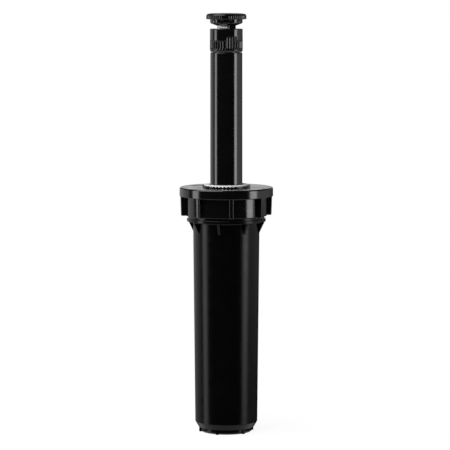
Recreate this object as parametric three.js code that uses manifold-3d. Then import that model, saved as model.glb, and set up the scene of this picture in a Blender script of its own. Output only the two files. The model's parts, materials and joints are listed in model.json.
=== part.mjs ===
// Four-inch pop-up spray head with an adjustable-arc nozzle, shown popped up.
//
// Frame: millimetres, +Z up along the riser. The origin is the centre of the inlet face, which is
// the lowest face. Angles are bearings: 0 faces -Y (the front) and grows towards +X, so a point at
// bearing b and radius r sits at (r sin b, -r cos b).
//
// From the bottom up: threaded inlet, tubular case, ribbed screw cap, then the riser and nozzle.

import * as THREE from 'three';
import { mergeVertices } from 'three/addons/utils/BufferGeometryUtils.js';
import Module from 'manifold-3d';

const wasm = await Module();
wasm.setup();

// ---- Driving dimensions ------------------------------------------------------------------------

const CAP_TOP = 150;             // finished ground level: the cap's top face
const TRAVEL = 99.4;             // pop-up stroke of the riser
const GAP = 0.3;                 // standing clearance between neighbouring pieces
const FINE = 46;                 // facets round a large visible circle
const COARSE = 28;               // facets round a hidden or small circle

const CASE = {
  topRadius: 20.15,
  topZ: 121,
  footRadius: 19.0,
  footZ: 6.4,
  soleRadius: 17,
  soleZ: 3,
  bossRadius: 16,
  bossChamfer: 1,
  boreTopRadius: 18.1,
  boreFootRadius: 17.2,
  sumpZ: 6.5,
  seatRadius: 13,
  seatZ: 15,
  throatRadius: 6.5,
  throatZ: 13,
  rimZ: 145,
  rimRadius: 21.4,
  mouthRadius: 19,
  mouthZ: 134,
};

const COLLAR = { radius: 24.05, bottomZ: 129.2, topZ: 131, neckRadius: 23.7, neckZ: 132.5 };

const GUSSET = { count: 8, bearing: -12, thickness: 1.6, bottomZ: 122.5 };

const FIN = { count: 6, bearing: -20, thickness: 1.8, radius: 16.8 };

const RIB = {
  count: 4,
  bearing: 45,
  width: 2,
  innerRadius: 15.9,
  outerRadius: 18.5,
  bottomZ: 20,
  topZ: 132.5,
};

const CAP = {
  radius: 28.5,
  bandRadius: 28.2,
  bandZ: 144.5,
  plateZ: 147,
  wallRadius: 24.75,
  boreRadius: 23.2,
  holeRadius: 14,
  lipRadius: 14.6,
  lipZ: CAP_TOP + 1.2,
  skirtZ: 132.7,
};

const LUG = { count: 8, bearing: 6.5, width: 2.7, topRadius: 28.05, bottomRadius: 27.65 };

// Case and cap share one right-hand helix; the cap's ridge runs midway between the case's turns.
const CAP_THREAD = {
  pitch: 4,
  topZ: 143.2,
  baseWidth: 1.9,
  crestWidth: 0.9,
  maleRoot: 21.9,
  maleCrest: 22.8,
  femaleCrest: 22.35,
};

const INLET_THREAD = {
  pitch: 1.814,
  turns: 4,
  rootRadius: 10.5,
  crestRadius: 9.6,
  baseWidth: 1.4,
  crestWidth: 0.3,
};

const RETAINER = {
  boreRadius: 11.5,
  lipBoreRadius: 10.4,
  radius: 13.6,
  bottomZ: CAP.plateZ + 0.4,
  lipZ: CAP_TOP + 1.0,
  topZ: CAP_TOP + 1.7,
  chamfer: 0.5,
  teeth: 25,
  toothDepth: 0.35,
};

const WIPER = {
  lipRadius: 10.15,
  boreRadius: 10.6,
  neckRadius: 11.2,
  flangeRadius: 21.3,
  bottomZ: 145.3,
  thickness: 1.4,
  lipZ: 147.4,
  topZ: CAP_TOP + 0.7,
};

const SPRING = { meanRadius: 13.2, wireRadius: 0.65, turns: 8, bottomZ: 130.5, topZ: 143.2 };

const RISER = {
  topRadius: 9.7,
  bottomRadius: 9.8,
  boreRadius: 7.6,
  bottomZ: 117.2,
  floorZ: 118.4,
  flangeRadius: 15.5,
  flangeZ: 121.8,
  flangeThickness: 1.8,
  shoulderZ: 231.7,
  neckRadius: 8,
  neckBoreRadius: 6.6,
  neckTopZ: 237.4,
};

const RATCHET = {
  teeth: 24,
  toothHeight: 0.8,
  crownZ: 123.7,
  ringZ: 127.4,
  ringTopZ: 130.2,
  ringRadius: 16.7,
};

// The check seal's underside stands one stroke above the seat, less the squeeze it has left.
const CHECK_SEAL = {
  bottomZ: CASE.seatZ + TRAVEL + 0.2,
  radius: 9.1,
  bevelRadius: 7.4,
  chamfer: 0.5,
  bevel: 0.8,
  boreRadius: 2.6,
};

const CLIP = { headRadius: 5.8, chamfer: 0.6, headThickness: 1.3, stemRadius: 2.3, drop: 0.7 };

const FILTER = {
  radius: 5.6,
  boreRadius: 4.7,
  bottomZ: 206,
  rows: 3,
  rowPitch: 9.5,
  openingHeight: 8,
  openingWidth: 3,
  openings: 6,
  lidRadius: 7.6,
  lidTopZ: 238.4,
  orificeRadius: 1.9,
};

const NOZZLE = {
  radius: 9.9,
  bottomZ: 232,
  topZ: 246,
  ribTopZ: 238.6,
  ribCount: 23,
  skirtBore: 8.95,
  ledgeZ: 239.7,
  webZ: 241.8,
  stemBore: 4,
};

const NOZZLE_THREAD = {
  pitch: 1.5,
  topZ: 236.7,
  turns: 2.6,
  baseWidth: 0.7,
  crestWidth: 0.25,
  maleCrest: 8.45,
  femaleCrest: 8.6,
};

const HEAD = {
  radius: 12.2,
  rimBottomZ: 251.7,
  rimTopZ: 254.7,
  crownZ: 255.3,
  knurlCount: 25,
  deflectorRadius: 9.85,
  deflectorZ: 249.2,
  tipRadius: 5.4,
  tipZ: 247.65,
};

// The fixed edge of the spray opening rises from the nozzle's base to just under the deflector.
const EDGE = {
  bearing: 24,
  thickness: 4.2,
  innerRadius: 5.95,
  innerHeight: 1.4,
  radius: 9.4,
  height: 2.8,
};

const SPINDLE = {
  boreRadius: 1.9,
  radius: 3.7,
  neckRadius: 2.8,
  collarRadius: 5.6,
  bottomZ: 240,
  collarZ: 246.3,
  neckZ: 247.35,
  topZ: 252.9,
  nutRadius: 5.6,
  nutZ: 240.1,
  nutTopZ: 241.5,
};

const SCREW = {
  tipRadius: 0.8,
  shankRadius: 1.6,
  headRadius: 2.7,
  bottomZ: 238.9,
  headZ: 253.2,
  topZ: 254.9,
  slotWidth: 0.8,
  slotDepth: 0.8,
  slotBearing: 20,
};

// ---- Helpers -----------------------------------------------------------------------------------

const TURN = 2 * Math.PI;
const WELD = 1e-4;

const radians = (degrees) => (degrees * Math.PI) / 180;

// A solid for joining and cutting, from a closed mesh.
function toSolid(geometry) {
  const bare = new THREE.BufferGeometry();
  bare.setAttribute('position', geometry.getAttribute('position').clone());
  bare.setIndex(geometry.getIndex());
  const welded = mergeVertices(bare, WELD);
  const index = welded.getIndex().array;
  const triVerts = [];
  for (let i = 0; i < index.length; i += 3) {
    const [a, b, c] = [index[i], index[i + 1], index[i + 2]];
    if (a !== b && b !== c && c !== a) triVerts.push(a, b, c);
  }
  return new wasm.Manifold(new wasm.Mesh({
    numProp: 3,
    vertProperties: Float32Array.from(welded.getAttribute('position').array),
    triVerts: Uint32Array.from(triVerts),
  }));
}

function toGeometry(solid) {
  const mesh = solid.getMesh();
  const geometry = new THREE.BufferGeometry();
  geometry.setAttribute('position', new THREE.BufferAttribute(mesh.vertProperties, 3));
  geometry.setIndex(new THREE.BufferAttribute(mesh.triVerts, 1));
  return geometry;
}

// Revolves a closed outline of [radius, z] corners about the Z axis, listed anticlockwise.
function turned(outline, facets = COARSE) {
  const corners = [...outline, outline[0]].map(([radius, z]) => new THREE.Vector2(radius, z));
  return new THREE.LatheGeometry(corners, facets).rotateX(Math.PI / 2);
}

// The anticlockwise outline of an upright rectangle.
function rectangle(innerRadius, outerRadius, bottomZ, topZ) {
  return [[innerRadius, bottomZ], [outerRadius, bottomZ], [outerRadius, topZ], [innerRadius, topZ]];
}

function ring(innerRadius, outerRadius, bottomZ, topZ, facets = COARSE) {
  return turned(rectangle(innerRadius, outerRadius, bottomZ, topZ), facets);
}

// A flat plate of even thickness standing on a bearing, from its outline of [radius, z] corners.
function fin(outline, thickness, bearing) {
  const shape = new THREE.Shape(outline.map(([radius, z]) => new THREE.Vector2(radius, z)));
  const geometry = new THREE.ExtrudeGeometry(shape, { depth: thickness, bevelEnabled: false });
  return geometry
    .translate(0, 0, -thickness / 2)
    .rotateX(Math.PI / 2)
    .rotateZ(radians(bearing - 90));
}

// The bearings of `count` features spread evenly round the axis.
function bearings({ count, bearing }) {
  return Array.from({ length: count }, (_, k) => bearing + (360 * k) / count);
}

// Joins a geometry with more of them, or cuts them from it.
function join(base, pieces) {
  return pieces.reduce((solid, piece) => solid.add(toSolid(piece)), toSolid(base));
}

function cut(solid, pieces) {
  return pieces.reduce((rest, piece) => rest.subtract(toSolid(piece)), solid);
}

// A right-hand thread ridge. `root` lies inside the wall that carries it and `crest` stands proud of
// it; both ends of the ridge sink into the wall. The ridge runs down from `topZ`.
function threadRidge({ root, crest, baseWidth, crestWidth, pitch, turns, topZ, bearing, stepsPerTurn }) {
  const half = [baseWidth / 2, crestWidth / 2];
  const section = crest > root
    ? [[root, -half[0]], [crest, -half[1]], [crest, half[1]], [root, half[0]]]
    : [[crest, -half[1]], [root, -half[0]], [root, half[0]], [crest, half[1]]];
  const shape = new THREE.Shape(section.map(([radius, z]) => new THREE.Vector2(radius, z)));
  const steps = Math.round(turns * stepsPerTurn);
  const geometry = new THREE.ExtrudeGeometry(shape, { depth: turns, steps, bevelEnabled: false });
  const position = geometry.getAttribute('position');
  const runOut = 1.5 / stepsPerTurn;
  for (let i = 0; i < position.count; i += 1) {
    const along = position.getZ(i);
    const grown = Math.min(1, along / runOut, (turns - along) / runOut);
    const radius = position.getX(i) - (crest - root) * (1 - grown);
    const angle = radians(bearing) - TURN * along;
    const z = topZ - pitch * along + position.getY(i);
    position.setXYZ(i, radius * Math.sin(angle), -radius * Math.cos(angle), z);
  }
  return geometry;
}

// Pushes alternate columns of a turned piece in or out between two heights, making upright ribs.
function ribbed(geometry, facets, depth, bottomZ, topZ, minRadius) {
  const position = geometry.getAttribute('position');
  const column = TURN / facets;
  for (let i = 0; i < position.count; i += 1) {
    const [x, y, z] = [position.getX(i), position.getY(i), position.getZ(i)];
    const radius = Math.hypot(x, y);
    const isValley = Math.round(Math.atan2(x, -y) / column + facets) % 2 === 1;
    if (isValley && radius > minRadius && z > bottomZ && z < topZ) {
      const scale = (radius - depth) / radius;
      position.setXYZ(i, x * scale, y * scale, z);
    }
  }
  return geometry;
}

// Raises a crown of teeth on the face of a ring at height z; a negative `rise` points them down.
function sawToothed(geometry, teeth, z, rise) {
  const position = geometry.getAttribute('position');
  for (let i = 0; i < position.count; i += 1) {
    if (Math.abs(position.getZ(i) - z) > WELD) continue;
    const bearing = Math.atan2(position.getX(i), -position.getY(i));
    const step = Math.round((bearing / TURN) * teeth * 2 + teeth * 2) % 2;
    position.setZ(i, z + rise * step);
  }
  return geometry;
}

function plastic(color, roughness) {
  return new THREE.MeshStandardMaterial({ color, roughness, metalness: 0 });
}

const material = {
  satinBlack: () => plastic(0x0c0c0d, 0.45),
  glossBlack: () => plastic(0x080809, 0.25),
  paleGrey: () => plastic(0xc9c9c6, 0.5),
  natural: () => plastic(0xd8d6cc, 0.5),
  darkGrey: () => plastic(0x333436, 0.5),
  rubber: () => plastic(0x161616, 0.85),
  steel: () => new THREE.MeshStandardMaterial({ color: 0xb9bcc0, roughness: 0.3, metalness: 1 }),
};

function piece(name, geometry, look) {
  const mesh = new THREE.Mesh(geometry, look);
  mesh.name = name;
  return mesh;
}

// ---- Case --------------------------------------------------------------------------------------

function caseShell() {
  return turned([
    [INLET_THREAD.rootRadius, 0],
    [CASE.bossRadius - CASE.bossChamfer, 0],
    [CASE.bossRadius, CASE.bossChamfer],
    [CASE.bossRadius, CASE.soleZ],
    [CASE.soleRadius, CASE.soleZ],
    [CASE.footRadius, CASE.footZ],
    [CASE.topRadius, CASE.topZ],
    [CASE.topRadius, COLLAR.bottomZ],
    [COLLAR.radius, COLLAR.bottomZ],
    [COLLAR.radius, COLLAR.topZ],
    [COLLAR.neckRadius, COLLAR.topZ],
    [COLLAR.neckRadius, COLLAR.neckZ],
    [CAP_THREAD.maleRoot, COLLAR.neckZ],
    [CAP_THREAD.maleRoot, CASE.rimZ - 0.6],
    [CASE.rimRadius, CASE.rimZ],
    [CASE.mouthRadius, CASE.rimZ],
    [CASE.mouthRadius, CASE.mouthZ],
    [CASE.boreTopRadius, CASE.mouthZ - 1],
    [CASE.boreFootRadius, CASE.sumpZ],
    [CASE.seatRadius, CASE.sumpZ],
    [CASE.seatRadius, CASE.seatZ],
    [CASE.throatRadius, CASE.seatZ],
    [CASE.throatRadius, CASE.throatZ],
    [INLET_THREAD.rootRadius, CASE.throatZ],
  ], FINE);
}

// Triangular gussets that carry the collar.
function collarGussets() {
  const outline = [
    [CASE.topRadius - 0.8, GUSSET.bottomZ],
    [CASE.topRadius + 0.3, GUSSET.bottomZ],
    [COLLAR.radius - 0.1, COLLAR.bottomZ + 0.3],
    [CASE.topRadius - 0.8, COLLAR.bottomZ + 0.3],
  ];
  return bearings(GUSSET).map((bearing) => fin(outline, GUSSET.thickness, bearing));
}

// Fins that stiffen the inlet boss and take a wrench.
function inletFins() {
  const inner = CASE.bossRadius - 1.5;
  const topZ = CASE.soleZ + 0.3;
  const outline = [[inner, 0], [FIN.radius - 0.4, 0], [FIN.radius, 0.4], [FIN.radius, topZ], [inner, topZ]];
  return bearings(FIN).map((bearing) => fin(outline, FIN.thickness, bearing));
}

// Upright ribs inside the bore, which key the ratchet ring.
function guideRibs() {
  const outline = [
    [RIB.innerRadius, RIB.bottomZ],
    [CASE.boreFootRadius + 0.6, RIB.bottomZ],
    [RIB.outerRadius, RIB.topZ],
    [RIB.innerRadius, RIB.topZ],
  ];
  return bearings(RIB).map((bearing) => fin(outline, RIB.width, bearing));
}

function bodyCase() {
  const capThread = threadRidge({
    ...CAP_THREAD,
    root: CAP_THREAD.maleRoot - GAP,
    crest: CAP_THREAD.maleCrest,
    turns: 2.2,
    bearing: 0,
    stepsPerTurn: 20,
  });
  const inletThread = threadRidge({
    ...INLET_THREAD,
    root: INLET_THREAD.rootRadius + 0.2,
    crest: INLET_THREAD.crestRadius,
    topZ: CASE.throatZ - 1.5,
    bearing: 0,
    stepsPerTurn: 12,
  });
  const features = [...collarGussets(), ...inletFins(), ...guideRibs(), capThread, inletThread];
  return piece('body_case', toGeometry(join(caseShell(), features)), material.satinBlack());
}

// ---- Screw cap and its seal --------------------------------------------------------------------

function gripLugs() {
  const outline = [
    [CAP.wallRadius - 0.5, CAP.skirtZ],
    [LUG.bottomRadius, CAP.skirtZ],
    [LUG.topRadius, CAP.bandZ + 0.3],
    [CAP.wallRadius - 0.5, CAP.bandZ + 0.3],
  ];
  return bearings(LUG).map((bearing) => fin(outline, LUG.width, bearing));
}

function screwCap() {
  const shell = turned([
    [CAP.boreRadius, CAP.skirtZ],
    [CAP.wallRadius, CAP.skirtZ],
    [CAP.wallRadius, CAP.bandZ],
    [CAP.bandRadius, CAP.bandZ],
    [CAP.radius, CAP_TOP - 0.9],
    [CAP.radius - 0.7, CAP_TOP],
    [CAP.lipRadius, CAP_TOP],
    [CAP.lipRadius, CAP.lipZ],
    [CAP.holeRadius, CAP.lipZ],
    [CAP.holeRadius, CAP.plateZ],
    [CAP.boreRadius, CAP.plateZ],
  ], FINE);
  const thread = threadRidge({
    ...CAP_THREAD,
    root: CAP.boreRadius + GAP,
    crest: CAP_THREAD.femaleCrest,
    turns: 1.9,
    topZ: CAP_THREAD.topZ - CAP_THREAD.pitch / 2,
    bearing: 0,
    stepsPerTurn: 20,
  });
  return piece('screw_cap', toGeometry(join(shell, [...gripLugs(), thread])), material.glossBlack());
}

// Pale ring that holds the seal down round the riser; its edge is toothed for a grip.
function sealRetainer() {
  const facets = RETAINER.teeth * 2;
  const body = turned([
    [RETAINER.boreRadius, RETAINER.bottomZ],
    [RETAINER.radius, RETAINER.bottomZ],
    [RETAINER.radius, RETAINER.topZ - RETAINER.chamfer],
    [RETAINER.radius - RETAINER.chamfer, RETAINER.topZ],
    [RETAINER.lipBoreRadius, RETAINER.topZ],
    [RETAINER.lipBoreRadius, RETAINER.lipZ],
    [RETAINER.boreRadius, RETAINER.lipZ],
  ], facets);
  const aboveCap = CAP_TOP + RETAINER.chamfer;
  ribbed(body, facets, RETAINER.toothDepth, aboveCap, RETAINER.topZ + 1, RETAINER.radius - 1);
  return piece('seal_retainer', body, material.paleGrey());
}

// Rubber wiper: a flange clamped under the cap and a lip that rides on the riser.
function wiperSeal() {
  const flangeTop = WIPER.bottomZ + WIPER.thickness;
  const outline = [
    [WIPER.lipRadius, WIPER.bottomZ + GAP],
    [WIPER.neckRadius, WIPER.bottomZ],
    [WIPER.flangeRadius, WIPER.bottomZ],
    [WIPER.flangeRadius, flangeTop],
    [WIPER.neckRadius, flangeTop],
    [WIPER.neckRadius, WIPER.topZ],
    [WIPER.boreRadius, WIPER.topZ],
    [WIPER.boreRadius, WIPER.lipZ + 0.8],
    [WIPER.lipRadius, WIPER.lipZ],
  ];
  return piece('wiper_seal', turned(outline, 32), material.rubber());
}

function springTopWasher() {
  const washer = ring(10.4, 17.4, SPRING.topZ + 0.1, WIPER.bottomZ - 0.2);
  return piece('spring_top_washer', washer, material.natural());
}

// ---- Spring and ratchet ------------------------------------------------------------------------

// Helical compression spring, drawn squeezed as it is when the riser is up.
function retractSpring() {
  const sides = 5;
  const stepsPerTurn = 16;
  const rise = SPRING.topZ - SPRING.bottomZ - 2 * SPRING.wireRadius;
  const section = Array.from({ length: sides }, (_, k) => new THREE.Vector2(
    SPRING.meanRadius + SPRING.wireRadius * Math.cos((TURN * k) / sides),
    SPRING.wireRadius * Math.sin((TURN * k) / sides),
  ));
  const options = { depth: 1, steps: SPRING.turns * stepsPerTurn, bevelEnabled: false };
  const geometry = new THREE.ExtrudeGeometry(new THREE.Shape(section), options);
  const position = geometry.getAttribute('position');
  for (let i = 0; i < position.count; i += 1) {
    const along = position.getZ(i);
    const angle = -TURN * SPRING.turns * along;
    const radius = position.getX(i);
    const z = SPRING.topZ - SPRING.wireRadius - rise * along + position.getY(i);
    position.setXYZ(i, radius * Math.sin(angle), -radius * Math.cos(angle), z);
  }
  return piece('retract_spring', geometry, material.steel());
}

// Ring that carries the spring; four notches ride on the case's guide ribs so that it can't turn.
function ratchetRing() {
  const facets = RATCHET.teeth * 2;
  const body = ring(10.3, RATCHET.ringRadius, RATCHET.ringZ, RATCHET.ringTopZ, facets);
  sawToothed(body, RATCHET.teeth, RATCHET.ringZ, -RATCHET.toothHeight);
  const inner = RIB.innerRadius - 0.4;
  const outline = rectangle(inner, inner + 4, RATCHET.ringZ - 3, RATCHET.ringTopZ + 3);
  const notches = bearings(RIB).map((bearing) => fin(outline, RIB.width + 0.8, bearing));
  return piece('ratchet_ring', toGeometry(cut(toSolid(body), notches)), material.natural());
}

// ---- Riser -------------------------------------------------------------------------------------

function riserStem() {
  const flangeTop = RISER.flangeZ + RISER.flangeThickness;
  const shell = turned([
    [CHECK_SEAL.boreRadius, RISER.bottomZ],
    [RISER.bottomRadius, RISER.bottomZ],
    [RISER.bottomRadius, RISER.flangeZ],
    [RISER.flangeRadius, RISER.flangeZ],
    [RISER.flangeRadius, flangeTop],
    [RISER.bottomRadius, flangeTop],
    [RISER.topRadius, RISER.shoulderZ - 0.5],
    [RISER.topRadius - 0.5, RISER.shoulderZ],
    [RISER.neckRadius, RISER.shoulderZ],
    [RISER.neckRadius, RISER.neckTopZ],
    [RISER.neckBoreRadius, RISER.neckTopZ],
    [RISER.neckBoreRadius, RISER.shoulderZ - 2],
    [RISER.boreRadius, RISER.shoulderZ - 3],
    [RISER.boreRadius, RISER.floorZ],
    [CHECK_SEAL.boreRadius, RISER.floorZ],
  ], 34);
  const thread = threadRidge({
    ...NOZZLE_THREAD,
    root: RISER.neckRadius - 0.2,
    crest: NOZZLE_THREAD.maleCrest,
    bearing: 0,
    stepsPerTurn: 14,
  });
  // Water enters through windows in the wall just above the closed foot.
  const opening = rectangle(6, 12, RISER.floorZ + 0.2, RISER.flangeZ - 0.4);
  const windows = bearings({ count: 6, bearing: 0 }).map((bearing) => fin(opening, 5, bearing));
  return piece('riser_stem', toGeometry(cut(join(shell, [thread]), windows)), material.glossBlack());
}

function ratchetCrown() {
  const facets = RATCHET.teeth * 2;
  const topZ = RATCHET.crownZ + 1.7;
  const body = ring(10.1, RISER.flangeRadius, RATCHET.crownZ, topZ, facets);
  sawToothed(body, RATCHET.teeth, topZ, RATCHET.toothHeight);
  return piece('ratchet_crown', body, material.darkGrey());
}

// Rubber disc that closes the inlet throat when the riser is down, so the line doesn't drain.
function checkSeal() {
  const faceZ = CHECK_SEAL.bottomZ + CHECK_SEAL.bevel;
  const topZ = RISER.bottomZ - 0.1;
  const outline = [
    [CHECK_SEAL.boreRadius, faceZ],
    [CHECK_SEAL.bevelRadius - CHECK_SEAL.chamfer, faceZ],
    [CHECK_SEAL.bevelRadius, CHECK_SEAL.bottomZ],
    [CHECK_SEAL.radius, CHECK_SEAL.bottomZ],
    [CHECK_SEAL.radius, topZ],
    [CHECK_SEAL.boreRadius, topZ],
  ];
  return piece('check_seal', turned(outline), material.rubber());
}

// Button that pins the check seal to the riser's foot.
function checkSealClip() {
  const bottomZ = CHECK_SEAL.bottomZ - CLIP.drop;
  const tipZ = RISER.floorZ + 2;
  const outline = [
    [0, bottomZ],
    [CLIP.headRadius - CLIP.chamfer, bottomZ],
    [CLIP.headRadius, bottomZ + CLIP.chamfer],
    [CLIP.headRadius, bottomZ + CLIP.headThickness],
    [CLIP.stemRadius, bottomZ + CLIP.headThickness],
    [CLIP.stemRadius, tipZ - CLIP.chamfer],
    [CLIP.stemRadius - CLIP.chamfer, tipZ],
    [0, tipZ],
  ];
  return piece('check_seal_clip', turned(outline), material.natural());
}

// Basket filter that hangs in the riser, with rows of openings.
function filterScreen() {
  const topZ = RISER.neckTopZ - 0.1;
  const floorZ = FILTER.bottomZ + 1;
  const shell = turned([
    [0, FILTER.bottomZ],
    [FILTER.radius - 0.6, FILTER.bottomZ],
    [FILTER.radius, FILTER.bottomZ + 0.6],
    [FILTER.radius, topZ],
    [FILTER.boreRadius, topZ],
    [FILTER.boreRadius, floorZ],
    [0, floorZ],
  ], 20);
  const rows = Array.from({ length: FILTER.rows }, (_, row) => floorZ + 1.5 + FILTER.rowPitch * row);
  const around = bearings({ count: FILTER.openings, bearing: 0 });
  const openings = rows.flatMap((z) => {
    const outline = rectangle(FILTER.boreRadius - 1.2, FILTER.radius + 1.4, z, z + FILTER.openingHeight);
    return around.map((bearing) => fin(outline, FILTER.openingWidth, bearing));
  });
  return piece('filter_screen', toGeometry(cut(toSolid(shell), openings)), material.darkGrey());
}

// Lid of the filter: it rests on the riser's rim and holds the throttling orifice.
function filterLid() {
  const lid = ring(FILTER.orificeRadius, FILTER.lidRadius, RISER.neckTopZ + 0.1, FILTER.lidTopZ);
  return piece('filter_lid', lid, material.natural());
}

// ---- Nozzle ------------------------------------------------------------------------------------

function nozzleGasket() {
  const gasket = ring(5.8, 8.3, FILTER.lidTopZ + 0.1, NOZZLE.ledgeZ - 0.1);
  return piece('nozzle_gasket', gasket, material.rubber());
}

function fixedEdge() {
  const outline = [
    [EDGE.innerRadius, NOZZLE.topZ - 0.5],
    [EDGE.radius, NOZZLE.topZ - 0.5],
    [EDGE.radius, NOZZLE.topZ + EDGE.height],
    [EDGE.innerRadius, NOZZLE.topZ + EDGE.innerHeight],
  ];
  return fin(outline, EDGE.thickness, EDGE.bearing);
}

function nozzleBase() {
  const facets = NOZZLE.ribCount * 2;
  const shell = turned([
    [NOZZLE.skirtBore, NOZZLE.bottomZ],
    [NOZZLE.radius - 0.5, NOZZLE.bottomZ],
    [NOZZLE.radius, NOZZLE.bottomZ + 0.6],
    [NOZZLE.radius, NOZZLE.bottomZ + 0.8],
    [NOZZLE.radius, NOZZLE.ribTopZ - 0.2],
    [NOZZLE.radius, NOZZLE.ribTopZ],
    [NOZZLE.radius, NOZZLE.topZ - 0.4],
    [NOZZLE.radius - 0.4, NOZZLE.topZ],
    [NOZZLE.stemBore, NOZZLE.topZ],
    [NOZZLE.stemBore, NOZZLE.webZ],
    [6, NOZZLE.webZ],
    [6, NOZZLE.ledgeZ],
    [NOZZLE.skirtBore, NOZZLE.ledgeZ],
  ], facets);
  ribbed(shell, facets, 0.25, NOZZLE.bottomZ + 0.7, NOZZLE.ribTopZ - 0.1, NOZZLE.radius - 0.3);
  const thread = threadRidge({
    ...NOZZLE_THREAD,
    root: NOZZLE.skirtBore + 0.2,
    crest: NOZZLE_THREAD.femaleCrest,
    topZ: NOZZLE_THREAD.topZ - NOZZLE_THREAD.pitch / 2,
    bearing: 0,
    turns: 2,
    stepsPerTurn: 14,
  });
  return piece('nozzle_base', toGeometry(join(shell, [thread, fixedEdge()])), material.glossBlack());
}

// Knurled disc with the spray deflector under it.
function arcHead() {
  const facets = HEAD.knurlCount * 2;
  const shell = turned([
    [3, HEAD.tipZ],
    [HEAD.tipRadius, HEAD.tipZ],
    [HEAD.deflectorRadius - 0.4, HEAD.deflectorZ],
    [HEAD.deflectorRadius, HEAD.deflectorZ + 0.5],
    [HEAD.deflectorRadius, HEAD.rimBottomZ],
    [HEAD.radius, HEAD.rimBottomZ],
    [HEAD.radius, HEAD.rimBottomZ + 0.1],
    [HEAD.radius, HEAD.rimTopZ - 0.8],
    [HEAD.radius - 0.8, HEAD.rimTopZ],
    [HEAD.radius - 3, HEAD.crownZ],
    [3.2, HEAD.crownZ],
    [3.2, 253.2],
    [3, 253.2],
  ], facets);
  ribbed(shell, facets, 0.4, HEAD.rimBottomZ - 0.1, HEAD.rimTopZ - 0.5, HEAD.radius - 0.5);
  return piece('arc_head', shell, material.glossBlack());
}

// Hollow spindle that joins the head to the nut under the nozzle's web. Its collar keeps them apart.
function arcSpindle() {
  const outline = [
    [SPINDLE.boreRadius, SPINDLE.bottomZ],
    [SPINDLE.radius, SPINDLE.bottomZ],
    [SPINDLE.radius, SPINDLE.collarZ],
    [SPINDLE.collarRadius, SPINDLE.collarZ],
    [SPINDLE.collarRadius, SPINDLE.neckZ],
    [SPINDLE.neckRadius, SPINDLE.neckZ],
    [SPINDLE.neckRadius, SPINDLE.topZ],
    [SPINDLE.boreRadius, SPINDLE.topZ],
  ];
  return piece('arc_spindle', turned(outline, 24), material.natural());
}

function spindleNut() {
  const nut = ring(SPINDLE.radius + 0.2, SPINDLE.nutRadius, SPINDLE.nutZ, SPINDLE.nutTopZ, 24);
  return piece('spindle_nut', nut, material.natural());
}

// Stainless screw down the middle of the nozzle: its tip throttles the orifice in the filter's lid.
function radiusScrew() {
  const body = turned([
    [0, SCREW.bottomZ],
    [SCREW.tipRadius, SCREW.bottomZ],
    [SCREW.shankRadius, SCREW.bottomZ + 1.5],
    [SCREW.shankRadius, SCREW.headZ],
    [SCREW.headRadius, SCREW.headZ],
    [SCREW.headRadius, SCREW.topZ - 0.4],
    [SCREW.headRadius - 0.3, SCREW.topZ],
    [0, SCREW.topZ],
  ], 24);
  const slot = new THREE.BoxGeometry(3 * SCREW.headRadius, SCREW.slotWidth, 2 * SCREW.slotDepth)
    .rotateZ(radians(SCREW.slotBearing))
    .translate(0, 0, SCREW.topZ);
  return piece('radius_screw', toGeometry(cut(toSolid(body), [slot])), material.steel());
}

// ---- Assembly ----------------------------------------------------------------------------------

const sprinkler = new THREE.Group();

const caseAssembly = new THREE.Group();
caseAssembly.add(bodyCase());

const capAssembly = new THREE.Group();
capAssembly.add(screwCap(), sealRetainer(), wiperSeal(), springTopWasher());

const riserAssembly = new THREE.Group();
riserAssembly.add(retractSpring(), ratchetRing(), ratchetCrown(), riserStem(), checkSeal(), checkSealClip());
riserAssembly.add(filterScreen(), filterLid());

const nozzleAssembly = new THREE.Group();
nozzleAssembly.add(nozzleGasket(), nozzleBase(), arcHead(), arcSpindle(), spindleNut(), radiusScrew());

sprinkler.add(caseAssembly, capAssembly, riserAssembly, nozzleAssembly);

export default sprinkler;
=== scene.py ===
"""Pop-up spray sprinkler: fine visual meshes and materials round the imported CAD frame.

Lengths are millimetres in the shape functions and metres in Blender. A bearing is an angle round the
riser's axis: 0 faces -Y (the front) and it grows towards +X. Every piece takes its heights from the
box of the CAD node that it stands for.
"""
import json
import math

import bmesh
import bpy
import numpy as np
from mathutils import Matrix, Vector


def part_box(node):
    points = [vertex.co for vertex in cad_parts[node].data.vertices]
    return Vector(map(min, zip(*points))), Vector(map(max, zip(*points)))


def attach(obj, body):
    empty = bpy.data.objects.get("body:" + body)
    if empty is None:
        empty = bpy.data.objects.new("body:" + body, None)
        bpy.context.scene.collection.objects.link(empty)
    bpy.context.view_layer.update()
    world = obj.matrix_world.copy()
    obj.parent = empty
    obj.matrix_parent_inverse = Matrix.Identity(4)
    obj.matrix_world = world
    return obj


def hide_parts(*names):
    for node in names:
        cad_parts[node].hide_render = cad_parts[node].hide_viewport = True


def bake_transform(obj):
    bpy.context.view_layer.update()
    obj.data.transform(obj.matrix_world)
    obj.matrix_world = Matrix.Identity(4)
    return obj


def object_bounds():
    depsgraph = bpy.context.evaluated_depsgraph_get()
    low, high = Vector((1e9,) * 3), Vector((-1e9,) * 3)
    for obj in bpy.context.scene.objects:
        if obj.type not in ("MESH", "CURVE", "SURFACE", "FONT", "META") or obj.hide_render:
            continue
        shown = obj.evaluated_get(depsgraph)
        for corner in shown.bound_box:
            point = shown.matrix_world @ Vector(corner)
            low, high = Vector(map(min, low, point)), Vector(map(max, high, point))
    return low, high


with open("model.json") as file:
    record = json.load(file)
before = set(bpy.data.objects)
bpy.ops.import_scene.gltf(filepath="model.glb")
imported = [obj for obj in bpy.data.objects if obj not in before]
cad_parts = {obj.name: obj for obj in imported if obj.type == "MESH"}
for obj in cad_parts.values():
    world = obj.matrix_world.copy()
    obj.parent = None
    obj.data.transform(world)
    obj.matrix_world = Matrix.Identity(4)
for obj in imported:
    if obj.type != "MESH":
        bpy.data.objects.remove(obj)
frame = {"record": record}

CAD_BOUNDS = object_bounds()
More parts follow.
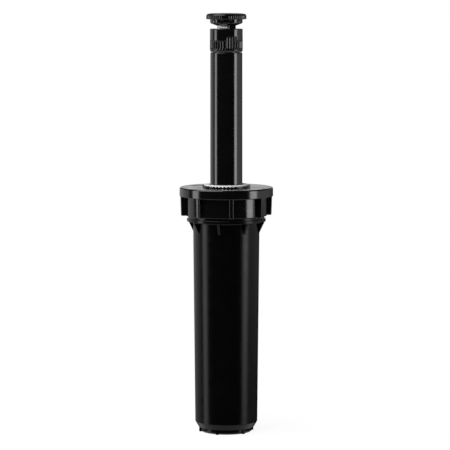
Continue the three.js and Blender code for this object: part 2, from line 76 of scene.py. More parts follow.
MM = 0.001
TURN = 2 * math.pi
LARGE = 256                        # facets round a large circle
SMALL = 128                        # facets round a small one
CREASE = math.radians(32)          # edges sharper than this stay crisp

NODE_BODY = {
    node: body
    for body, nodes in frame["record"]["behaviour"]["bodies"].items()
    for node in nodes
}
NODE_SLOT = {part["node"]: part["material_slot"] for part in frame["record"]["subparts"]}
BLENDED = ("retract_spring",)      # nodes that stretch between two bodies and ride on neither


# ---- Mesh helpers ------------------------------------------------------------------------------

class Span:
    """Heights and radius of a CAD node at rest, in millimetres."""

    def __init__(self, node):
        low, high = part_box(node)
        self.bottom = low.z / MM
        self.top = high.z / MM
        self.radius = high.x / MM


def fillet(before, corner, after, radius, steps=5):
    """Points of an arc that rounds a corner between two straight lines. The radius shrinks if the
    arc would take up more than about half of either line."""
    a, p, b = (np.array(point[:2], float) for point in (before, corner, after))
    to_a = (a - p) / np.linalg.norm(a - p)
    to_b = (b - p) / np.linalg.norm(b - p)
    half = math.acos(np.clip(to_a @ to_b, -1, 1)) / 2
    longest = 0.49 * min(np.linalg.norm(a - p), np.linalg.norm(b - p))
    reach = min(radius / math.tan(half), longest)
    radius = reach * math.tan(half)
    middle = (to_a + to_b) / np.linalg.norm(to_a + to_b)
    centre = p + middle * radius / math.sin(half)
    start, end = p + to_a * reach - centre, p + to_b * reach - centre
    first = math.atan2(start[1], start[0])
    sweep = (math.atan2(end[1], end[0]) - first + math.pi) % TURN - math.pi
    angles = first + sweep * np.linspace(0, 1, steps + 1)
    return [tuple(centre + radius * np.array((math.cos(t), math.sin(t)))) for t in angles]


def rounded(corners):
    """Outline points from [r, z] or [r, z, fillet radius] corners."""
    points = []
    for i, corner in enumerate(corners):
        if len(corner) < 3:
            points.append(tuple(corner))
        else:
            points += fillet(corners[i - 1], corner, corners[(i + 1) % len(corners)], corner[2])
    return points


def subdivided(points, longest):
    """The closed outline with long sides split, so that a warp has points to move."""
    result = []
    for a, b in zip(points, points[1:] + points[:1]):
        pieces = max(1, math.ceil(math.dist(a, b) / longest))
        for k in range(pieces):
            result.append((a[0] + (b[0] - a[0]) * k / pieces, a[1] + (b[1] - a[1]) * k / pieces))
    return result


def link(name, data):
    """A new object in the scene, from a mesh, a lamp or a camera."""
    obj = bpy.data.objects.new(name, data)
    bpy.context.scene.collection.objects.link(obj)
    return obj


def new_object(name, vertices, faces):
    """A mesh object from millimetre vertices, with its faces turned outwards."""
    mesh = bpy.data.meshes.new(name)
    mesh.from_pydata((np.asarray(vertices, float) * MM).tolist(), [], faces)
    bm = bmesh.new()
    bm.from_mesh(mesh)
    bmesh.ops.recalc_face_normals(bm, faces=bm.faces)
    bm.to_mesh(mesh)
    bm.free()
    return link(name, mesh)


def revolve(name, outline, facets=SMALL, warp=None):
    """Turns a closed [r, z] outline about the axis. An outline that starts and ends on the axis gets
    poles there. warp(r, z, bearing) gives the moved r and z."""
    points = np.array(outline, float)
    poles = points[0][0] < 1e-6 and points[-1][0] < 1e-6
    ring = points[1:-1] if poles else points
    count = len(ring)
    b = np.repeat((np.arange(facets) * TURN / facets)[:, None], count, 1)
    r = np.repeat(ring[:, 0][None, :], facets, 0)
    z = np.repeat(ring[:, 1][None, :], facets, 0)
    if warp:
        r, z = warp(r, z, b)
    vertices = np.stack([r * np.sin(b), -r * np.cos(b), z], -1).reshape(-1, 3)
    faces = []
    for f in range(facets):
        g = (f + 1) % facets
        for k in range(count - 1 if poles else count):
            m = (k + 1) % count
            faces.append((f * count + k, g * count + k, g * count + m, f * count + m))
    if poles:
        low, high = len(vertices), len(vertices) + 1
        vertices = np.vstack([vertices, (0, 0, points[0][1]), (0, 0, points[-1][1])])
        for f in range(facets):
            g = (f + 1) % facets
            faces.append((low, g * count, f * count))
            faces.append((high, f * count + count - 1, g * count + count - 1))
    return new_object(name, vertices, faces)


def prism(name, outline, start, end, bearing, outwards=False, soften=0.0):
    """A straight solid on a bearing, with softened edges. Its outline is [r, z] and it runs sideways
    from start to end; with outwards=True the outline is [sideways, z] and it runs along the radius."""
    angle = math.radians(bearing)
    out = np.array((math.sin(angle), -math.cos(angle), 0))
    side = np.array((math.cos(angle), math.sin(angle), 0))
    first, along = (side, out) if outwards else (out, side)
    up = np.array((0, 0, 1))
    vertices = [first * u + up * z + along * reach for reach in (start, end) for u, z in outline]
    n = len(outline)
    faces = [tuple(range(n)), tuple(range(2 * n - 1, n - 1, -1))]
    faces += [((k + 1) % n, k, n + k, n + (k + 1) % n) for k in range(n)]
    obj = new_object(name, vertices, faces)
    if soften:
        bm = bmesh.new()
        bm.from_mesh(obj.data)
        bmesh.ops.bevel(
            bm, geom=bm.edges[:], offset=soften * MM, segments=3, profile=0.5, affect="EDGES")
        bm.to_mesh(obj.data)
        bm.free()
    return obj


def plate(name, outline, thickness, bearing, soften=0.25):
    """An upright plate on a bearing, from its [r, z] outline."""
    return prism(name, outline, -thickness / 2, thickness / 2, bearing, soften=soften)


def box(inner, outer, bottom, top):
    """The [r, z] outline of an upright rectangle."""
    return [[inner, bottom], [outer, bottom], [outer, top], [inner, top]]


def soft_box(inner, outer, bottom, top, radius):
    """The [r, z] outline of an upright rectangle with rounded corners."""
    return rounded([[*corner, radius] for corner in box(inner, outer, bottom, top)])


def gather(name, objects):
    """One mesh object made of many."""
    bm = bmesh.new()
    for obj in objects:
        bm.from_mesh(obj.data)
        bpy.data.objects.remove(obj)
    mesh = bpy.data.meshes.new(name)
    bm.to_mesh(mesh)
    bm.free()
    return link(name, mesh)


def bake(obj):
    """Makes the result of an object's modifiers its mesh."""
    evaluated = obj.evaluated_get(bpy.context.evaluated_depsgraph_get())
    mesh = bpy.data.meshes.new_from_object(evaluated)
    obj.modifiers.clear()
    obj.data = mesh


def combine(base, tools, operation="UNION"):
    """Joins other solids to a solid, or cuts them from it."""
    for tool in tools:
        modifier = base.modifiers.new(operation, "BOOLEAN")
        modifier.operation = operation
        modifier.solver = "MANIFOLD"
        modifier.object = tool
    bake(base)
    for tool in tools:
        bpy.data.objects.remove(tool)
    return base


def helix(name, section, pitch, turns, top, facets, sunk=0.0):
    """Sweeps a closed [r, z] section down a right-hand helix from `top`. Within `run_out` of a turn
    of both ends it sinks inwards by `sunk`, so that a thread fades into the wall that carries it."""
    run_out = 1 / 6
    steps = round(turns * facets)
    count = len(section)
    vertices = []
    for s in range(steps + 1):
        along = s / facets
        depth = sunk * (1 - min(1, along / run_out, (turns - along) / run_out))
        angle = -TURN * along
        for r, z in section:
            radius = r - depth
            place_z = top - pitch * along + z
            vertices.append((radius * math.sin(angle), -radius * math.cos(angle), place_z))
    faces = [tuple(range(count - 1, -1, -1)), tuple(count * steps + k for k in range(count))]
    for s in range(steps):
        for k in range(count):
            a, b = count * s + k, count * s + (k + 1) % count
            faces.append((a, b, b + count, a + count))
    return new_object(name, vertices, faces)


def thread(name, root, crest, half_root, half_crest, pitch, turns, top, facets=96):
    """A thread ridge: `root` lies inside the wall and `crest` stands proud of it. Its ends sink a
    little deeper than its own height."""
    section = [(root, -half_root), (crest, -half_crest), (crest, half_crest), (root, half_root)]
    return helix(name, section, pitch, turns, top, facets, (crest - root) * 1.05)


def spread(count, first=0.0):
    """Bearings of `count` features spread evenly, in degrees."""
    return [first + 360 * k / count for k in range(count)]


def zigzag(b, count):
    """A triangle wave from 0 to 1 that repeats `count` times round the axis."""
    return np.abs(((b / TURN * count) % 1) * 2 - 1)


def ripple(b, count):
    """A smooth wave from 0 to 1 that repeats `count` times round the axis."""
    return 0.5 - 0.5 * np.cos(b * count)


def within(z, low, high, fade):
    """1 between two heights, falling to 0 over `fade` inside each."""
    return np.clip((z - low) / fade, 0, 1) * np.clip((high - z) / fade, 0, 1)


def weigh_normals(obj):
    """Lets the large faces beside a fillet shade flat, so that they reflect in straight lines."""
    modifier = obj.modifiers.new("normals", "WEIGHTED_NORMAL")
    modifier.mode = "FACE_AREA"
    modifier.weight = 50
    modifier.keep_sharp = True
    bake(obj)


def finish(obj, name, node):
    """Shading, material, body and slot of a piece that stands for a CAD node."""
    obj.name = name
    bm = bmesh.new()
    bm.from_mesh(obj.data)
    for face in bm.faces:
        face.smooth = True
    for edge in bm.edges:
        edge.smooth = len(edge.link_faces) == 2 and edge.calc_face_angle(0) < CREASE
    bm.to_mesh(obj.data)
    bm.free()
    if node not in BLENDED:
        weigh_normals(obj)
        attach(obj, NODE_BODY[node])
    obj.data.materials.clear()
    obj.data.materials.append(LOOKS[NODE_SLOT[node]])
    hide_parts(node)
    return obj


# ---- Materials ---------------------------------------------------------------------------------

class Shader:
    """Adds nodes to a material or a world. A node's input is a plain value or another's output."""

    def __init__(self, owner):
        owner.use_nodes = True
        self.nodes = owner.node_tree.nodes
        self.links = owner.node_tree.links

    def feed(self, node, inputs):
        for key, value in inputs.items():
            if isinstance(value, bpy.types.NodeSocket):
                self.links.new(value, node.inputs[key])
            else:
                node.inputs[key].default_value = value

    def add(self, kind, output, inputs, **settings):
        """A new node's output of this name."""
        node = self.nodes.new("ShaderNode" + kind)
        for name, value in settings.items():
            setattr(node, name, value)
        self.feed(node, inputs)
        return node.outputs[output]

    def axes(self, vector):
        """The x, y and z of a vector."""
        node = self.nodes.new("ShaderNodeSeparateXYZ")
        self.feed(node, {"Vector": vector})
        return [node.outputs[name] for name in "XYZ"]

    def calculate(self, operation, a, b):
        return self.add("Math", "Value", {0: a, 1: b}, operation=operation)

    def total(self, first, *others):
        for other in others:
            first = self.calculate("ADD", first, other)
        return first

    def product(self, first, *others):
        for other in others:
            first = self.calculate("MULTIPLY", first, other)
        return first

    def opposite(self, value):
        """1 minus a value."""
        return self.calculate("SUBTRACT", 1, value)

    def remap(self, value, from_low, from_high, to_low=0.0, to_high=1.0, interpolation="LINEAR"):
        inputs = {
            "Value": value,
            "From Min": from_low,
            "From Max": from_high,
            "To Min": to_low,
            "To Max": to_high,
        }
        return self.add("MapRange", "Result", inputs, interpolation_type=interpolation)

    def step(self, value, low, high, start=0.0):
        """Rises smoothly from `start` to 1 between two values."""
        return self.remap(value, low, high, start, interpolation="SMOOTHSTEP")


def moulded(name, dark, light, roughness, uneven, grain, grain_size,
            specular=0.5, wave=0.0, top_wave=0.0, dust=0.0, metallic=0.0):
    """Moulded plastic, rubber or metal: mottled between two colours, uneven gloss, and a fine surface
    grain of grain_size millimetres. Sink marks are a short wave, and a long one on faces that look
    straight up. Dust lies on all faces that look up."""
    dust_colour = (0.32, 0.31, 0.29, 1)
    material = bpy.data.materials.new(name)
    shader = Shader(material)
    place = shader.add("TexCoord", "Object", {})
    upward = shader.axes(shader.add("NewGeometry", "Normal", {}))[2]

    def noise(size, detail):
        return shader.add(
            "TexNoise", "Fac", {"Scale": 1 / (size * MM), "Detail": detail, "Vector": place})

    def mix(share, first, second):
        return shader.add("MixRGB", "Color", {"Fac": share, "Color1": first, "Color2": second})

    mottle = mix(noise(14, 4), (*dark, 1), (*light, 1))
    settled = shader.product(shader.remap(upward, 0.6, 1.0, 0.0, dust), noise(0.9, 6))
    gloss = shader.remap(noise(5, 3), 0.3, 0.7, roughness - uneven, roughness + uneven)
    top_strength = shader.remap(upward, 0.9, 1.0, 0.0, top_wave)
    layers = [                       # height, distance in millimetres, strength
        (noise(4, 2), 0.1, wave),
        (noise(18, 1), 1.5, top_strength),
        (noise(grain_size, 5), grain_size * 0.2, grain),
    ]
    relief = {}
    for height, distance, strength in layers:
        inputs = {"Height": height, "Distance": distance * MM, "Strength": strength, **relief}
        relief = {"Normal": shader.add("Bump", "Normal", inputs)}
    shader.feed(shader.nodes["Principled BSDF"], {
        "Base Color": mix(settled, mottle, dust_colour),
        "Roughness": gloss,
        "Metallic": metallic,
        "Specular IOR Level": specular,
        **relief,
    })
    return material


LOOKS = {
    "case_plastic": moulded(
        "case_plastic", (0.0004, 0.0004, 0.0005), (0.0011, 0.0011, 0.0012), 0.23, 0.03, 0.12, 0.5,
        specular=0.2, wave=0.1, dust=0.15),
    "gloss_plastic": moulded(
        "gloss_plastic", (0.0007, 0.0007, 0.0008), (0.002, 0.002, 0.0022), 0.13, 0.03, 0.04, 0.6,
        wave=0.15, top_wave=0.7, dust=0.1),
    "pale_plastic": moulded(
        "pale_plastic", (0.48, 0.48, 0.47), (0.6, 0.6, 0.59), 0.42, 0.08, 0.12, 0.4, dust=0.05),
    "natural_plastic": moulded(
        "natural_plastic", (0.66, 0.65, 0.61), (0.78, 0.77, 0.73), 0.4, 0.08, 0.1, 0.4),
    "grey_plastic": moulded(
        "grey_plastic", (0.03, 0.031, 0.033), (0.05, 0.051, 0.054), 0.45, 0.08, 0.15, 0.4),
    "rubber": moulded(
        "rubber", (0.004, 0.004, 0.004), (0.008, 0.008, 0.008), 0.7, 0.1, 0.3, 0.35, specular=0.3),
    "stainless": moulded(
        "stainless", (0.45, 0.455, 0.465), (0.6, 0.605, 0.615), 0.28, 0.08, 0.1, 0.3, metallic=1.0),
}


# ---- Values that pieces share ------------------------------------------------------------------

CAP_PITCH = 4                      # the thread between case and cap
NOZZLE_PITCH = 1.5                 # the thread between riser and nozzle
GUIDES = spread(4, 45)             # the case's guide ribs and the ratchet ring's notches
RATCHET_TEETH = 24
RATCHET_FACETS = 12 * RATCHET_TEETH
TOOTH = 0.8                        # height of a ratchet tooth


# ---- Case --------------------------------------------------------------------------------------

def body_case():
    s = Span("body_case")
    wall = 20.15                     # outer radius at the top of the tube
    under = s.top - 15.8             # underside of the collar
    shell = revolve("case_shell", rounded([
        [10.5, s.bottom],
        [15.0, s.bottom, 0.3],
        [16.0, s.bottom + 1, 0.3],
        [16.0, s.bottom + 3],
        [17.0, s.bottom + 3, 0.3],
        [19.0, s.bottom + 6.4, 0.8],
        [wall, s.bottom + 121],
        [wall, under, 0.8],
        [s.radius, under, 0.35],
        [s.radius, under + 1.8, 0.25],
        [s.radius - 0.9, under + 1.8, 0.2],
        [s.radius - 0.9, under + 3.3, 0.2],
        [21.9, under + 3.3, 0.3],
        [21.9, s.top, 0.5],
        [19, s.top, 0.3],
        [19, s.top - 11],
        [18.1, s.top - 12],
        [17.2, s.bottom + 6.5],
        [13, s.bottom + 6.5],
        [13, s.bottom + 15, 0.3],
        [6.5, s.bottom + 15, 0.3],
        [6.5, s.bottom + 13],
        [10.5, s.bottom + 13],
    ]), LARGE)
    web = [[wall - 0.8, under - 6.7], [wall + 0.3, under - 6.7],
           [s.radius - 0.1, under + 0.4], [wall - 0.8, under + 0.4]]
    gussets = [plate("gusset", web, 1.6, b, 0.2) for b in spread(8, -12)]
    fins = [plate("fin", box(13.4, 16.8, s.bottom, s.bottom + 3.3), 1.8, b, 0.3) for b in spread(6, -20)]
    guide = [[15.9, s.bottom + 20], [17.8, s.bottom + 20], [18.5, s.top - 12.5], [15.9, s.top - 12.5]]
    ribs = [plate("rib", guide, 2, b, 0.2) for b in GUIDES]
    cap_thread = thread("cap_thread", 21.6, 22.8, 0.95, 0.45, CAP_PITCH, 2.2, s.top - 1.8)
    inlet_thread = thread("inlet_thread", 10.7, 9.6, 0.7, 0.15, 1.814, 4, s.bottom + 11.5)
    case = combine(shell, [*gussets, *fins, *ribs, cap_thread, inlet_thread])
    finish(case, "moulded_case", "body_case")


# ---- Cap and seal ------------------------------------------------------------------------------

def arrows(name, count, inner, outer, half_width, bottom, top):
    """A ring of upright wedges that point up or down, for cutting a row of triangles."""
    outline = [[-half_width, bottom], [half_width, bottom], [0, top]]
    wedges = [prism("wedge", outline, inner, outer, b, outwards=True) for b in spread(count)]
    return gather(name, wedges)


def screw_cap():
    """The lip round the hole has a row of small teeth, and the seal retainer shows between them."""
    s = Span("screw_cap")
    face = s.top - 1.2               # top of the cap, round the lip
    band = face - 5.5                # underside of the plain band
    shell = revolve("cap_shell", rounded([
        [23.2, s.bottom],
        [24.75, s.bottom, 0.4],
        [24.75, band, 0.5],
        [28.45, band, 0.35],
        [s.radius, face, 0.8],
        [14.6, face],
        [14.6, s.top, 0.1],
        [14, s.top, 0.15],
        [14, face - 3],
        [23.2, face - 3],
    ]), LARGE)
    grip = [[24.2, s.bottom], [27.65, s.bottom], [28.05, band + 0.4], [24.2, band + 0.4]]
    lugs = [plate("lug", grip, 2.7, b, 0.7) for b in spread(8, 6.5)]
    inner_thread = thread("inner_thread", 23.5, 22.35, 0.95, 0.45, CAP_PITCH, 1.9, face - 8.8)
    cap = combine(shell, [*lugs, inner_thread])
    notches = arrows("notches", 40, 13.5, 15.2, 1.0, s.top + 0.1, s.top - 0.65)
    finish(combine(cap, [notches], "DIFFERENCE"), "moulded_cap", "screw_cap")


def seal_retainer():
    s = Span("seal_retainer")
    ring = revolve("retainer", rounded([
        [11.5, s.bottom],
        [13.6, s.bottom, 0.2],
        [13.6, s.top, 0.35],
        [10.4, s.top, 0.3],
        [10.4, s.top - 0.7],
        [11.5, s.top - 0.7],
    ]), LARGE)
    finish(ring, "pale_ring", "seal_retainer")


def wiper_seal():
    s = Span("wiper_seal")
    flange = s.bottom + 1.4
    obj = revolve("rubber_wiper", rounded([
        [10.15, s.bottom + 0.3, 0.2],
        [11.2, s.bottom],
        [s.radius, s.bottom, 0.2],
        [s.radius, flange, 0.2],
        [11.2, flange, 0.2],
        [11.2, s.top, 0.15],
        [10.6, s.top, 0.15],
        [10.6, s.bottom + 2.9],
        [10.15, s.bottom + 2.1, 0.2],
    ]))
    finish(obj, "rubber_wiper", "wiper_seal")


# ---- Spring and ratchet ------------------------------------------------------------------------

def spring_top_washer():
    s = Span("spring_top_washer")
    outline = soft_box(10.4, s.radius, s.bottom, s.top, 0.25)
    finish(revolve("washer", outline), "spring_washer", "spring_top_washer")


def retract_spring():
    s = Span("retract_spring")
    wire = 0.65                      # half the wire's thickness
    turns = 8
    low, high = s.bottom + wire, s.top - wire
    circle = [TURN * k / 12 for k in range(12)]
    section = [(s.radius - wire + wire * math.cos(t), wire * math.sin(t)) for t in circle]
    coil = helix("coil", section, (high - low) / turns, turns, high, 64)
    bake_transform(coil)
    finish(coil, "coil_spring", "retract_spring")


def ratchet_teeth(face, height):
    """A warp that lifts the flat face at this height into teeth, or lowers it if height is below 0."""
    def warp(r, z, b):
        on_face = np.abs(z - face) < 0.01
        return r, z + height * zigzag(b, RATCHET_TEETH) * on_face

    return warp


def ratchet_ring():
    """The teeth point down; four notches ride on the case's guide ribs."""
    s = Span("ratchet_ring")
    face = s.bottom + TOOTH
    outline = rounded([[10.3, face], [16.7, face], [16.7, s.top, 0.3], [10.3, s.top, 0.3]])
    ring = revolve("ring", outline, RATCHET_FACETS, ratchet_teeth(face, -TOOTH))
    notch = box(15.5, 19.5, s.bottom - 2, s.top + 3)
    notches = [plate("notch", notch, 2.8, b, 0.3) for b in GUIDES]
    finish(combine(ring, notches, "DIFFERENCE"), "spring_follower", "ratchet_ring")


def ratchet_crown():
    s = Span("ratchet_crown")
    face = s.top - TOOTH
    outline = rounded([
        [10.1, s.bottom, 0.2],
        [s.radius, s.bottom, 0.2],
        [s.radius, face],
        [10.1, face],
    ])
    crown = revolve("crown", outline, RATCHET_FACETS, ratchet_teeth(face, TOOTH))
    finish(crown, "toothed_crown", "ratchet_crown")


# ---- Riser -------------------------------------------------------------------------------------

def riser_stem():
    s = Span("riser_stem")
    shoulder = s.top - 5.7
    flange = s.bottom + 4.6
    shell = revolve("riser_shell", rounded([
        [2.6, s.bottom],
        [9.8, s.bottom, 0.3],
        [9.8, flange],
        [15.5, flange, 0.3],
        [15.5, flange + 1.8, 0.3],
        [9.8, flange + 1.8, 0.4],
        [9.7, shoulder, 0.4],
        [8, shoulder],
        [8, s.top, 0.3],
        [6.6, s.top, 0.2],
        [6.6, shoulder - 2],
        [7.6, shoulder - 3],
        [7.6, s.bottom + 1.2],
        [2.6, s.bottom + 1.2],
    ]), LARGE)
    opening = box(6, 12, s.bottom + 1.4, flange - 0.4)
    windows = [plate("window", opening, 5, b, 0.4) for b in spread(6)]
    tube = combine(shell, windows, "DIFFERENCE")
    neck_thread = thread("neck_thread", 7.8, 8.45, 0.35, 0.12, NOZZLE_PITCH, 2.6, s.top - 0.7)
    finish(combine(tube, [neck_thread]), "riser_tube", "riser_stem")


def check_seal():
    s = Span("check_seal")
    obj = revolve("disc", rounded([
        [2.6, s.bottom + 0.8],
        [6.9, s.bottom + 0.8, 0.3],
        [7.4, s.bottom, 0.25],
        [9.1, s.bottom, 0.4],
        [9.1, s.top, 0.3],
        [2.6, s.top],
    ]))
    finish(obj, "rubber_disc", "check_seal")


def check_seal_clip():
    s = Span("check_seal_clip")
    obj = revolve("clip", rounded([
        [0, s.bottom],
        [5.8, s.bottom, 0.6],
        [5.8, s.bottom + 1.3, 0.2],
        [2.3, s.bottom + 1.3],
        [2.3, s.top, 0.6],
        [0, s.top],
    ]))
    finish(obj, "disc_clip", "check_seal_clip")


def filter_screen():
    """A basket pierced by a grid of small openings."""
    s = Span("filter_screen")
    shell = revolve("basket", rounded([
        [0, s.bottom],
        [5.6, s.bottom, 0.6],
        [5.6, s.top],
        [4.7, s.top],
        [4.7, s.bottom + 1],
        [0, s.bottom + 1],
    ]))
    rows, columns, pitch = 12, 14, 2.3
    openings = []
    for row in range(rows):
        z = s.bottom + 2 + pitch * row
        hole = box(-0.6, 0.6, z, z + 1.5)
        openings += [prism("hole", hole, 4.2, 6.2, b, outwards=True) for b in spread(columns)]
    screen = combine(shell, [gather("openings", openings)], "DIFFERENCE")
    finish(screen, "filter_basket", "filter_screen")


def filter_lid():
    s = Span("filter_lid")
    outline = rounded([
        [1.9, s.bottom],
        [7.6, s.bottom, 0.2],
        [7.6, s.top, 0.25],
        [1.9, s.top, 0.25],
    ])
    finish(revolve("lid", outline), "filter_cover", "filter_lid")


# ---- Nozzle ------------------------------------------------------------------------------------

def nozzle_gasket():
    s = Span("nozzle_gasket")
    outline = soft_box(5.8, 8.3, s.bottom, s.top, 0.3)
    finish(revolve("gasket", outline), "flat_gasket", "nozzle_gasket")


def nozzle_base():
    s = Span("nozzle_base")
    ribs, rib_depth = 36, 0.42
    rim = s.bottom + 14
    tall_middle, tall_half = math.radians(17), math.radians(23)

    def grip(r, z, b):
        """Upright grip ribs, taller over a stretch under the fixed edge of the spray."""
        extra = 2.4 * (np.abs(b - tall_middle) < tall_half)
        band = within(z, s.bottom + 1.6, s.bottom + 7 + extra, 0.5)
        return r - rib_depth * ripple(b, ribs) * band * (r > 9.2), z

    outline = subdivided(rounded([
        [8.95, s.bottom],
        [9.4, s.bottom, 0.1],
        [9.95, s.bottom + 1.0, 0.3],
        [9.9, rim, 0.3],
        [4, rim, 0.2],
        [4, s.bottom + 9.8],
        [6, s.bottom + 9.8],
        [6, s.bottom + 7.7],
        [8.95, s.bottom + 7.7],
    ]), 0.4)
    shell = revolve("nozzle_shell", outline, ribs * 8, grip)
    edge = [[5.95, rim - 0.5], [9.5, rim - 0.5], [9.5, rim + 2.8], [5.95, rim + 1.4]]
    tools = [
        plate("edge", edge, 4.2, 24, 0.2),
        thread("base_thread", 9.2, 8.6, 0.35, 0.12, NOZZLE_PITCH, 2, s.bottom + 3.95),
    ]
    finish(combine(shell, tools), "nozzle_body", "nozzle_base")


def arc_head():
    s = Span("arc_head")
    teeth, tooth_depth = 56, 0.24
    scallops, scallop_depth = 11, 0.3
    under = s.top - 3.6
    flank = s.bottom + 1.55

    def shape(r, z, b):
        """Knurled rim, and shallow scallops round the deflector."""
        rim = (r > 11.0) * np.clip((s.top - 1.1 - z) / 0.5, 0, 1)
        r = r - rim * tooth_depth * ripple(b, teeth)
        skirt = (r > 8.6) * (r < 10.2) * within(z, flank, under - 0.2, 0.5)
        r = r - skirt * scallop_depth * ripple(b, scallops) ** 2
        return r, z

    outline = subdivided(rounded([
        [3, s.bottom],
        [5.4, s.bottom, 0.15],
        [9.45, flank, 0.2],
        [9.85, flank + 0.5, 0.2],
        [9.85, under],
        [s.radius, under, 0.5],
        [s.radius, s.top - 0.5, 1.3],
        [9.2, s.top],
        [3.2, s.top, 0.3],
        [3.2, s.top - 2.1],
        [3, s.top - 2.1],
    ]), 0.3)
    finish(revolve("disc", outline, teeth * 8, shape), "knurled_disc", "arc_head")


def arc_spindle():
    s = Span("arc_spindle")
    obj = revolve("spindle", rounded([
        [1.9, s.bottom],
        [3.7, s.bottom, 0.2],
        [3.7, s.bottom + 6.3],
        [s.radius, s.bottom + 6.3, 0.15],
        [s.radius, s.bottom + 7.35, 0.15],
        [2.8, s.bottom + 7.35],
        [2.8, s.top, 0.2],
        [1.9, s.top],
    ]))
    finish(obj, "hollow_spindle", "arc_spindle")


def spindle_nut():
    s = Span("spindle_nut")
    outline = soft_box(3.9, 5.6, s.bottom, s.top, 0.2)
    finish(revolve("nut", outline), "round_nut", "spindle_nut")


def radius_screw():
    s = Span("radius_screw")
    head = s.top - 1.7
    blank = revolve("blank", rounded([
        [0, s.bottom],
        [0.8, s.bottom, 0.1],
        [1.5, s.bottom + 1.5],
        [1.5, head],
        [2.7, head, 0.2],
        [2.7, s.top, 0.5],
        [0, s.top],
    ]), 64)
    shank = combine(blank, [thread("screw_thread", 1.35, 1.72, 0.22, 0.05, 0.7, 15, head - 0.9, 32)])
    slot = plate("slot", box(-4, 4, s.top - 0.8, s.top + 1), 0.8, 110, 0.05)
    finish(combine(shank, [slot], "DIFFERENCE"), "slotted_screw", "radius_screw")


# ---- Floor, light and camera -------------------------------------------------------------------

PAPER = (1, 1, 1, 1)               # the white surround that the camera sees
STRIP = 5.0                        # brightness of a strip light
OVERHEAD = Vector((-0.6, -0.3, 0.8)).normalized()    # towards the softbox

# Brightness of the studio at eye level, as (bearing in degrees, share of STRIP).
HORIZON = [
    (-180, 0.02), (-155, 0.1), (-136, 0.14), (-106, 0.14),             # a dim light behind, at the left
    (-103, 0.015), (-92, 0.015),
    (-89, 0.85), (-74, 0.85),                                          # the left strip light
    (-71, 0.004), (59, 0.004),                                         # dark in front
    (62, 1.15), (79, 1.15),                                            # the right strip light
    (82, 0.2), (110, 0.12), (135, 0.05), (155, 0.01), (180, 0.0),      # a dim wall behind, at the right
]


def floor():
    """A floor that glows white, takes a faint shadow near the object, and is clear from below."""
    ground = CAD_BOUNDS[0].z / MM
    low, high = ground - 3, ground - 0.2
    reach = 3000
    disc = revolve("floor", [(0, low), (reach, low), (reach, high), (0, high)])
    disc.visible_glossy = False

    material = bpy.data.materials.new("floor")
    shader = Shader(material)
    matt = shader.nodes["Principled BSDF"]
    shader.feed(matt, {"Base Color": (0.93, 0.93, 0.93, 1), "Roughness": 1, "Specular IOR Level": 0})
    glow = shader.add("Emission", "Emission", {"Color": PAPER})
    clear = shader.add("BsdfTransparent", "BSDF", {})
    place = shader.add("TexCoord", "Object", {})
    from_axis = shader.add("VectorMath", "Value", {0: place}, operation="LENGTH")
    share = shader.step(from_axis, 0.01, 0.1, start=0.93)
    upper = shader.add("MixShader", "Shader", {"Fac": share, 1: matt.outputs["BSDF"], 2: glow})
    upward = shader.axes(shader.add("NewGeometry", "Normal", {}))[2]
    below = shader.calculate("LESS_THAN", upward, 0)
    both = shader.add("MixShader", "Shader", {"Fac": below, 1: upper, 2: clear})
    shader.feed(shader.nodes["Material Output"], {"Surface": both})
    disc.data.materials.append(material)


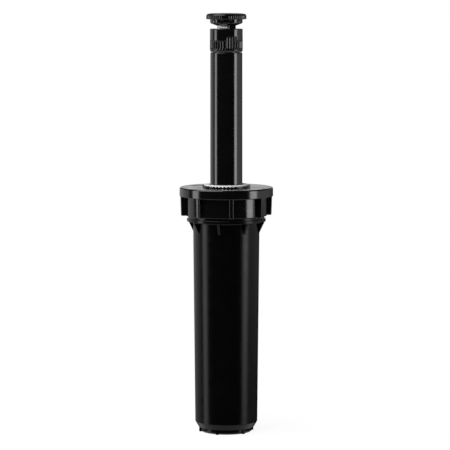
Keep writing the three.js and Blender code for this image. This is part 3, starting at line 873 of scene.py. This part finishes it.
def surround():
    """White to the camera. To the object it is a studio: dark in front, strip lights at the sides, a
    softbox overhead, a pale backdrop just above eye level and a white floor below."""
    world = bpy.data.worlds.new("studio")
    bpy.context.scene.world = world
    shader = Shader(world)
    step, product = shader.step, shader.product
    ray = shader.add("TexCoord", "Generated", {})
    x, y, z = shader.axes(ray)
    down = product(z, -1)

    bearing = shader.calculate("ARCTAN2", x, product(y, -1))
    ramp = shader.nodes.new("ShaderNodeValToRGB")
    stops = ramp.color_ramp.elements
    for degrees, _ in HORIZON[1:-1]:
        stops.new((degrees + 180) / 360)
    for stop, (_, level) in zip(stops, HORIZON):
        stop.color = (level, level, level, 1)
    turned = shader.calculate("DIVIDE", shader.total(bearing, math.pi), TURN)
    shader.feed(ramp, {"Fac": turned})

    # A strip fades almost away above eye level, so that faces that look up stay dark. It drops lower
    # down, more so on the right, and ends well below.
    above = product(step(z, 0.02, 0.1), 0.92)
    loss = shader.total(product(step(x, 0.0, 0.1), 0.33), 0.6)
    foot = product(step(down, 0.11, 0.17), loss)
    window = shader.calculate("SUBTRACT", shader.opposite(above), foot)
    lit = product(window, shader.opposite(step(down, 0.45, 0.7)))
    strips = product(ramp.outputs["Color"], STRIP, lit)

    low_sky = shader.calculate("SUBTRACT", step(z, 0.0, 0.06), step(z, 0.1, 0.25))
    backdrop = product(low_sky, step(y, 0.2, 0.7), 0.7)
    ground = product(step(down, 0.35, 0.6), 0.8)
    towards = shader.add("VectorMath", "Value", {0: ray, 1: OVERHEAD}, operation="DOT_PRODUCT")
    softbox = product(step(towards, 0.84, 0.9), 4)
    studio = shader.total(strips, backdrop, ground, softbox)

    seen = shader.add("LightPath", "Is Camera Ray", {})
    colour = shader.add("MixRGB", "Color", {"Fac": seen, "Color1": studio, "Color2": PAPER})
    shader.feed(shader.nodes["Background"], {"Color": colour})


def fill_light():
    """Soft light from above the camera, which brightens pale pieces and leaves no reflection."""
    light = bpy.data.lights.new("fill", "AREA")
    light.shape = "SQUARE"
    light.size = 1.0
    light.energy = 18
    obj = link("fill", light)
    obj.location = (-0.3, -1.1, 0.9)
    aim = Vector((0, 0, 0.15)) - obj.location
    obj.rotation_euler = aim.to_track_quat("-Z", "Y").to_euler()
    obj.visible_camera = False
    obj.visible_glossy = False


def camera():
    """A long lens a little above the nozzle, tipped down so that the object fills the frame."""
    distance = 1.576
    rise = 0.0265                    # above the top of the nozzle
    sideways = -0.0008
    tip = 5.62                       # degrees below level
    lens = bpy.data.cameras.new("camera")
    lens.lens = 208
    lens.sensor_width = 36
    obj = link("camera", lens)
    obj.location = (sideways, -distance, CAD_BOUNDS[1].z + rise)
    obj.rotation_euler = (math.radians(90 - tip), 0, 0)
    bpy.context.scene.camera = obj


# ---- Build -------------------------------------------------------------------------------------

PIECES = [
    body_case, screw_cap, seal_retainer, wiper_seal, spring_top_washer, retract_spring, ratchet_ring,
    ratchet_crown, riser_stem, check_seal, check_seal_clip, filter_screen, filter_lid, nozzle_gasket,
    nozzle_base, arc_head, arc_spindle, spindle_nut, radius_screw,
]
for build in PIECES:
    build()

floor()
surround()
fill_light()
camera()

scene = bpy.context.scene
scene.view_settings.view_transform = "Standard"
scene.view_settings.look = "None"
scene.cycles.use_denoising = True
